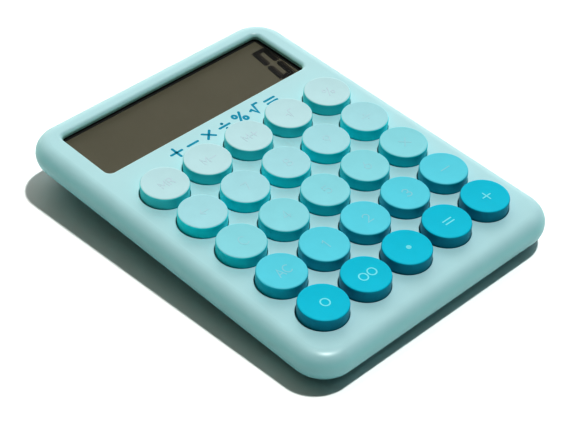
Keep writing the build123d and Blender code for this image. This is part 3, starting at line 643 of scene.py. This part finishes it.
# ---------------------------------------------------------------- build: the lit digit
DIGIT_HEIGHT = 16.5
DIGIT_WIDTH = 4.6
DIGIT_STROKE = 1.9
DIGIT_SLANT = math.tan(math.radians(7.5))
DIGIT_GAP = 0.15  # each segment's end stops this far from its corner
DIGIT_X = 41.5
DIGIT_Y = 68.5
DIGIT_SHADOW = (0.9, -0.2)  # where the reflector shows the digit's shadow
DIGIT_LAYERS = [  # name, shift in the panel, lower and upper face above the glass, colour
    ("display_digit_shadow", DIGIT_SHADOW, (0.01, 0.02), (0.035, 0.030, 0.022)),
    ("display_digit", (0.0, 0.0), (0.03, 0.08), (0.006, 0.006, 0.005)),
]
half_w, half_h = DIGIT_WIDTH / 2, DIGIT_HEIGHT / 2
CORNERS = {  # top, middle and bottom, left and right
    "tl": (-half_w, half_h),
    "tr": (half_w, half_h),
    "mr": (half_w, 0.0),
    "br": (half_w, -half_h),
    "bl": (-half_w, -half_h),
    "ml": (-half_w, 0.0),
}
WAIST = ("ml", "mr")


def segment(first, second):
    """Outline of one display segment: mitred at the digit's corners, pointed at its waist."""
    start, end = Vector(CORNERS[first]), Vector(CORNERS[second])
    along = (end - start).normalized()
    side = Vector((-along.y, along.x)) * DIGIT_STROKE / 2
    ends = []
    for corner, spot, inward in ((first, start, along), (second, end, -along)):
        spot = spot + inward * DIGIT_GAP
        reach = inward * DIGIT_STROKE / 2
        if corner in WAIST:
            ends.append((spot + reach + side, [spot], spot + reach - side))
        else:
            ends.append((spot - reach + side, [], spot + reach - side))
    (outer_a, tip_a, inner_a), (outer_b, tip_b, inner_b) = ends
    return [outer_a, outer_b, *tip_b, inner_b, inner_a, *tip_a]


def digit_point(corner, shift, height):
    """Row-frame point of a point of the slanted digit, at a deck height."""
    x = DIGIT_X + shift[0] + corner.x + corner.y * DIGIT_SLANT
    return deck.point(x, DIGIT_Y + shift[1] + corner.y, height)


glass_top = deck.box("lcd_front_glass")[1].z
corner_names = list(CORNERS)
for name, shift, rises, colour in DIGIT_LAYERS:
    mesh = bmesh.new()
    for first, second in zip(corner_names, corner_names[1:] + corner_names[:1]):
        rings = []
        for rise in rises:
            points = [digit_point(corner, shift, glass_top + rise) for corner in segment(first, second)]
            rings.append([mesh.verts.new(point) for point in points])
            mesh.faces.new(rings[-1])
        lower, upper = rings
        for index in range(len(lower)):
            after = (index + 1) % len(lower)
            mesh.faces.new((lower[index], lower[after], upper[after], upper[index]))
    finish_mesh(name, mesh, ink_material(name + "_ink", colour), "case")

# ---------------------------------------------------------------- stage: floor, light, camera
FLOOR_SIZE = 6.0  # metres
FLOOR_CELLS = 8

mesh = bmesh.new()
bmesh.ops.create_grid(mesh, x_segments=FLOOR_CELLS, y_segments=FLOOR_CELLS, size=FLOOR_SIZE / 2)
data = bpy.data.meshes.new("floor")
mesh.to_mesh(data)
mesh.free()
floor_shader = Shader("floor_white")
floor_shader.colour(floor_shader.mix(floor_shader.patches(40.0), (0.89, 0.89, 0.885), (0.91, 0.91, 0.905)))
floor_shader.roughness(0.9, 0.02, 20.0)
floor_shader.set(Specular_IOR_Level=0.0)
data.materials.append(floor_shader.material)
floor = bpy.data.objects.new("floor", data)
bpy.context.scene.collection.objects.link(floor)

# In the photo the floor's shadow and the missing shadows of the keys don't fit one lamp, so there are two
# sun lamps: a steep one for the calculator and a lower one for the floor.
OBJECT_SUN = {"towards": (0.14, -0.07, 1.0), "strength": 2.5, "colour": (1.0, 0.99, 0.965)}
FLOOR_SUN = {"towards": (0.46, 0.053, 1.0), "strength": 3.3, "colour": (1.0, 1.0, 1.0)}
SUN_SIZE = 4.0  # degrees
WORLD_GLOWS = [  # direction, sharpness, colour of each large soft light
    ((0.707, 0.707, 0.35), 3.0, (1.9, 1.85, 1.9)),
    ((0.0, 1.0, 0.35), 3.0, (0.3, 0.3, 0.15)),
    ((-0.7, -0.7, 0.6), 2.0, (0.05, 0.09, 0.08)),
]
AMBIENT_COLOUR = (0.01, 0.01, 0.01)
BACKDROP_COLOUR = (1.0, 1.0, 1.0, 1.0)  # what the camera sees past the floor


def sun_lamp(name, towards, strength, colour, link_state):
    """Sun lamp that lights only the floor (INCLUDE) or everything else (EXCLUDE)."""
    lamp = bpy.data.lights.new(name, "SUN")
    lamp.energy = strength
    lamp.angle = math.radians(SUN_SIZE)
    lamp.color = colour
    holder = bpy.data.objects.new(name, lamp)
    holder.rotation_euler = Vector(towards).to_track_quat("Z", "Y").to_euler()
    receivers = bpy.data.collections.new(name + "_receivers")
    receivers.objects.link(floor)
    receivers.collection_objects[0].light_linking.link_state = link_state
    holder.light_linking.receiver_collection = receivers
    bpy.context.scene.collection.objects.link(holder)


sun_lamp("object_sun", link_state="EXCLUDE", **OBJECT_SUN)
sun_lamp("floor_sun", link_state="INCLUDE", **FLOOR_SUN)

world = bpy.data.worlds.new("studio")
world.use_nodes = True
world_nodes, world_links = world.node_tree.nodes, world.node_tree.links
SCALAR_OPERATIONS = ("MAXIMUM", "POWER")


def world_math(operation, *values):
    """Math or vector-math node of the world; a value is a number, a vector or an output."""
    scalar = operation in SCALAR_OPERATIONS
    node = world_nodes.new("ShaderNodeMath" if scalar else "ShaderNodeVectorMath")
    node.operation = operation
    for index, value in enumerate(values):
        socket = node.inputs["Scale"] if operation == "SCALE" and index == 1 else node.inputs[index]
        if isinstance(value, bpy.types.NodeSocket):
            world_links.new(value, socket)
        else:
            socket.default_value = value
    return node.outputs["Value" if scalar or operation == "DOT_PRODUCT" else "Vector"]


background = world_nodes["Background"]
direction = world_nodes.new("ShaderNodeTexCoord").outputs["Generated"]
light = AMBIENT_COLOUR
for towards, sharpness, colour in WORLD_GLOWS:
    facing = world_math("DOT_PRODUCT", direction, Vector(towards).normalized())
    falloff = world_math("POWER", world_math("MAXIMUM", facing, 0.0), sharpness)
    light = world_math("ADD", light, world_math("SCALE", colour, falloff))
world_links.new(light, background.inputs["Color"])
backdrop = world_nodes.new("ShaderNodeBackground")
backdrop.inputs["Color"].default_value = BACKDROP_COLOUR
choice = world_nodes.new("ShaderNodeMixShader")
world_links.new(world_nodes.new("ShaderNodeLightPath").outputs["Is Camera Ray"], choice.inputs[0])
world_links.new(background.outputs["Background"], choice.inputs[1])
world_links.new(backdrop.outputs["Background"], choice.inputs[2])
world_links.new(choice.outputs["Shader"], world_nodes["World Output"].inputs["Surface"])
bpy.context.scene.world = world

CAMERA_AZIMUTH = 315.2  # degrees, 0 looks along +Y and 90 along -X; all fitted to the photo's view
CAMERA_ELEVATION = 39.87
CAMERA_ROLL = 1.2
CAMERA_DISTANCE = 579.9  # millimetres
CAMERA_AIM = (-13.98, -13.12, 14.64)  # row frame, millimetres
CAMERA_LENS = 111.0
SENSOR_WIDTH = 36.0
CAMERA_REACH = 20.0  # metres
DISPLAY_GAMMA = 0.8  # below 1 gives the deeper shadows of a contrasty print

azimuth, elevation = math.radians(CAMERA_AZIMUTH), math.radians(CAMERA_ELEVATION)
backwards = Vector(
    (
        math.sin(azimuth) * math.cos(elevation),
        -math.cos(azimuth) * math.cos(elevation),
        math.sin(elevation),
    )
)
camera_data = bpy.data.cameras.new("camera")
camera_data.lens = CAMERA_LENS
camera_data.sensor_width = SENSOR_WIDTH
camera = bpy.data.objects.new("camera", camera_data)
turn = backwards.to_track_quat("Z", "Y").to_matrix().to_4x4()
roll = Matrix.Rotation(math.radians(CAMERA_ROLL), 4, "Z")
aim = Vector(CAMERA_AIM) * MM
camera.matrix_world = Matrix.Translation(aim + backwards * CAMERA_DISTANCE * MM) @ turn @ roll
camera_data.clip_end = CAMERA_REACH
bpy.context.scene.collection.objects.link(camera)
bpy.context.scene.camera = camera
bpy.context.scene.view_settings.view_transform = "Standard"
bpy.context.scene.view_settings.gamma = DISPLAY_GAMMA
